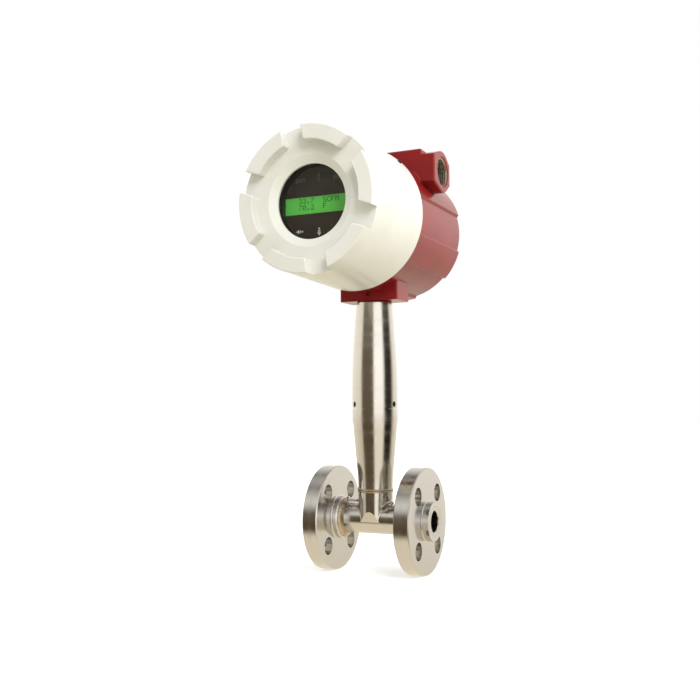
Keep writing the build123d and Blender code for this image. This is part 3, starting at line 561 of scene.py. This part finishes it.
def arrow(name, x, z, turn, finish):
    """An arrow 7 mm long: a triangle and two bars that get smaller, turned by quarter turns."""
    shape = np.array([
        (-1.8, 0.6), (1.8, 0.6), (0, 3.4), (0, 3.4),
        (-1.1, -1.2), (1.1, -1.2), (1.1, 0.0), (-1.1, 0.0),
        (-0.7, -3.2), (0.7, -3.2), (0.7, -1.9), (-0.7, -1.9)]) * mm
    swing = np.radians(90 * turn)
    spun = shape @ np.array([(np.cos(swing), np.sin(swing)), (-np.sin(swing), np.cos(swing))])
    across, upright = stem_x + x * mm + spun[:, 0], head_z + z * mm + spun[:, 1]
    points = np.column_stack([across, np.full(len(spun), print_y), upright])
    mesh = bpy.data.meshes.new(name)
    mesh.from_pydata(points.tolist(), [], [(0, 1, 2), (4, 5, 6, 7), (8, 9, 10, 11)])
    return piece(name, mesh, finish, outward=False)


word("exit_word", "EXIT", 3.2, -21.4, 19.6, "print_grey")
word("enter_word", "ENTER", 3.2, 13.0, 19.6, "print_grey")
arrow("up_arrow", 0.2, 23.0, 0, "print_grey")
arrow("down_arrow", 0.3, -22.6, 2, "print_white")
arrow("left_arrow", -17.8, -21.4, 1, "print_white")

# %% [markdown]
# The meter stands on the rims of its flanges on a pale floor, which keeps its soft shadow. A
# little light of the floor's own, more of it further away, lets it run into the white behind.
# Only the camera sees that light.

# %% Floor
floor_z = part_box("inlet_flange")[0].z
reach = 6.0
corners = [(x * reach, y * reach, floor_z) for x, y in ((-1, -1), (1, -1), (1, 1), (-1, 1))]
mesh = bpy.data.meshes.new("floor")
mesh.from_pydata(corners, [], [(0, 1, 2, 3)])
floor = bpy.data.objects.new("floor", mesh)
bpy.context.scene.collection.objects.link(floor)
floor.visible_glossy = False

paper = bpy.data.materials.new("pale_paper")
paper.use_nodes = True
tree = paper.node_tree
tree.nodes.clear()
ray = add(tree, "LightPath")
spot = add(tree, "TexCoord").outputs["Object"]
grain = add(tree, "TexNoise", {"Vector": spot, "Scale": 900.0, "Detail": 2.0})
tone = add(tree, "MapRange", {"Value": grain.outputs[0], "To Min": 0.88, "To Max": 0.92})
away = add(tree, "VectorMath", {0: spot, 1: (1.0, 1.0, 0.0)}, operation="MULTIPLY")
away = add(tree, "VectorMath", {0: away.outputs[0]}, operation="LENGTH").outputs["Value"]
own = add(tree, "MapRange", {
    "Value": away, "From Min": 0.25, "From Max": 1.1, "To Min": 0.42, "To Max": 1.0},
    interpolation_type="SMOOTHSTEP")
white = add(tree, "BsdfDiffuse", {"Color": tone.outputs[0]})
lift = add(tree, "Emission", {"Strength": own.outputs[0]})
seen = add(tree, "AddShader", {0: white.outputs[0], 1: lift.outputs[0]})
bounce = add(tree, "BsdfDiffuse", {"Color": (0.66, 0.62, 0.5, 1)})
both = add(tree, "MixShader", {
    0: ray.outputs["Is Camera Ray"], 1: bounce.outputs[0], 2: seen.outputs[0]})
add(tree, "OutputMaterial", {"Surface": both.outputs[0]})
mesh.materials.append(paper)

# %% [markdown]
# Polished steel shows its room, so the room is drawn as a function of direction: pale walls
# behind, a dark wall behind the camera with a bright soft box to its right and a black flag at
# the far right, a ceiling, and a cream table below. Only reflections and the glass see it: the
# camera sees plain white, and paint gets an even, soft light.

# %% Room
walls = [
    (-180, (1.28, 1.22, 1.08)), (-143, (1.2, 1.12, 0.97)), (-133, (0.18, 0.14, 0.093)),
    (-77, (0.18, 0.14, 0.093)), (-69, (1.7, 1.66, 1.6)), (-26, (1.7, 1.66, 1.6)),
    (-14, (0.038, 0.033, 0.022)), (21, (0.038, 0.033, 0.022)), (43, (1.28, 1.22, 1.08)),
    (70, (1.32, 1.28, 1.2)), (98, (1.48, 1.45, 1.4)), (112, (1.28, 1.22, 1.08)),
    (180, (1.28, 1.22, 1.08)),
]
ceiling = [(0.2, 1.0), (0.6, 0.95), (0.78, 0.55), (0.84, 0.3), (0.92, 0.75), (1.0, 0.8)]
table = (1.07, 0.94, 0.71)
brightest = 1.7
world = bpy.data.worlds.new("studio_room")
bpy.context.scene.world = world
world.use_nodes = True
tree = world.node_tree
tree.nodes.clear()
way = add(tree, "SeparateXYZ", {0: add(tree, "TexCoord").outputs["Generated"]})
azimuth = add(tree, "Math", {0: way.outputs["Y"], 1: way.outputs["X"]}, operation="ARCTAN2")
azimuth = add(tree, "Math", {
    0: azimuth.outputs[0], 1: 1 / (2 * np.pi), 2: 0.5}, operation="MULTIPLY_ADD")


def shade(light):
    """A light of the room as a colour: its share of the brightest."""
    return (*(np.array(light) / brightest).tolist(), 1)


wall = add(tree, "ValToRGB", {"Fac": azimuth.outputs[0]}, [
    ((degrees + 180) / 360, shade(light)) for degrees, light in walls])
top = add(tree, "ValToRGB", {"Fac": way.outputs["Z"]}, [
    (height, shade((light, light * 0.97, light * 0.9))) for height, light in ceiling])
lower = add(tree, "MapRange", {"Value": way.outputs["Z"], "From Min": 0.06, "From Max": -0.2})
wall = add(tree, "Mix", {
    "Factor": lower.outputs[0], 6: wall.outputs[0], 7: (0.7, 0.66, 0.57, 1)},
    data_type="RGBA", blend_type="MULTIPLY")
upward = add(tree, "MapRange", {
    "Value": way.outputs["Z"], "From Min": 0.16, "From Max": 0.52}, interpolation_type="SMOOTHSTEP")
mirror_view = add(tree, "Mix", {
    "Factor": upward.outputs[0], 6: wall.outputs[2], 7: top.outputs[0]}, data_type="RGBA")
downward = add(tree, "MapRange", {
    "Value": way.outputs["Z"], "From Min": -0.34, "From Max": -0.6},
    interpolation_type="SMOOTHSTEP")
mirror_view = add(tree, "Mix", {
    "Factor": downward.outputs[0], 6: mirror_view.outputs[2], 7: shade(table)}, data_type="RGBA")
reflected = add(tree, "Background", {"Color": mirror_view.outputs[2], "Strength": brightest})
height = add(tree, "MapRange", {"Value": way.outputs["Z"], "From Min": -1.0})
even = add(tree, "Mix", {
    "Factor": height.outputs[0], 6: (0.4, 0.37, 0.3, 1), 7: (0.9, 0.9, 0.89, 1)}, data_type="RGBA")
soft = add(tree, "Background", {"Color": even.outputs[2]})
plain = add(tree, "Background", {"Color": (1, 1, 1, 1), "Strength": 1.0})
ray = add(tree, "LightPath")
mirrored = add(tree, "Math", {
    0: ray.outputs["Is Glossy Ray"], 1: ray.outputs["Is Transmission Ray"]}, operation="MAXIMUM")
mixed = add(tree, "MixShader", {
    0: mirrored.outputs[0], 1: soft.outputs[0], 2: reflected.outputs[0]})
mixed = add(tree, "MixShader", {
    0: ray.outputs["Is Camera Ray"], 1: mixed.outputs[0], 2: plain.outputs[0]})
add(tree, "OutputWorld", {"Surface": mixed.outputs[0]})

# %% [markdown]
# Two large soft lamps give the shapes their light side and dark side. The key stands in front to
# the right and high up, so walls that face right or up are bright and the others fall dark, and
# a weaker one lights the right side. They light paint and shadows only, because what steel
# shows is drawn in the room.

# %% Lamps
meter_middle = 0.18


def lamp(name, place, power, size):
    """A square soft lamp aimed at the middle of the meter."""
    light = bpy.data.lights.new(name, "AREA")
    light.energy, light.size = power, size
    made = bpy.data.objects.new(name, light)
    made.location = place
    aim = Vector((stem_x, 0, meter_middle)) - made.location
    made.rotation_euler = aim.to_track_quat("-Z", "Y").to_euler()
    made.visible_glossy = made.visible_transmission = False
    bpy.context.scene.collection.objects.link(made)


lamp("key_lamp", (1.15, -1.05, 1.15), 21.0, 0.9)
lamp("side_lamp", (1.3, 0.55, 0.75), 9.0, 0.8)

# %% [markdown]
# The camera stands where the photograph's did: found by matching the centres of the flanges, the
# stem and the head, it is low, 25 degrees to the right, and looks up by 3 degrees.

# %% Camera
turn_a, tilt, roll = np.radians((25.41, 3.37, -0.29))
forward = Vector((-np.sin(turn_a) * np.cos(tilt), np.cos(turn_a) * np.cos(tilt), np.sin(tilt)))
level = Vector((np.cos(turn_a), np.sin(turn_a), 0))
above = level.cross(forward)
right = level * np.cos(roll) + above * np.sin(roll)
up = above * np.cos(roll) - level * np.sin(roll)
camera = bpy.data.objects.new("camera", bpy.data.cameras.new("camera"))
camera.data.lens, camera.data.sensor_width = 48.16, 36.0
stand = Vector((0.40571, -0.78684, 0.10328))
camera.matrix_world = Matrix((
    (right.x, up.x, -forward.x, stand.x), (right.y, up.y, -forward.y, stand.y),
    (right.z, up.z, -forward.z, stand.z), (0, 0, 0, 1)))
bpy.context.scene.collection.objects.link(camera)
bpy.context.scene.camera = camera
bpy.context.scene.view_settings.view_transform = "Standard"

# %% [markdown]
# Last, a line is printed to mark the end of the scene.

# %% Finish
print("scene done")
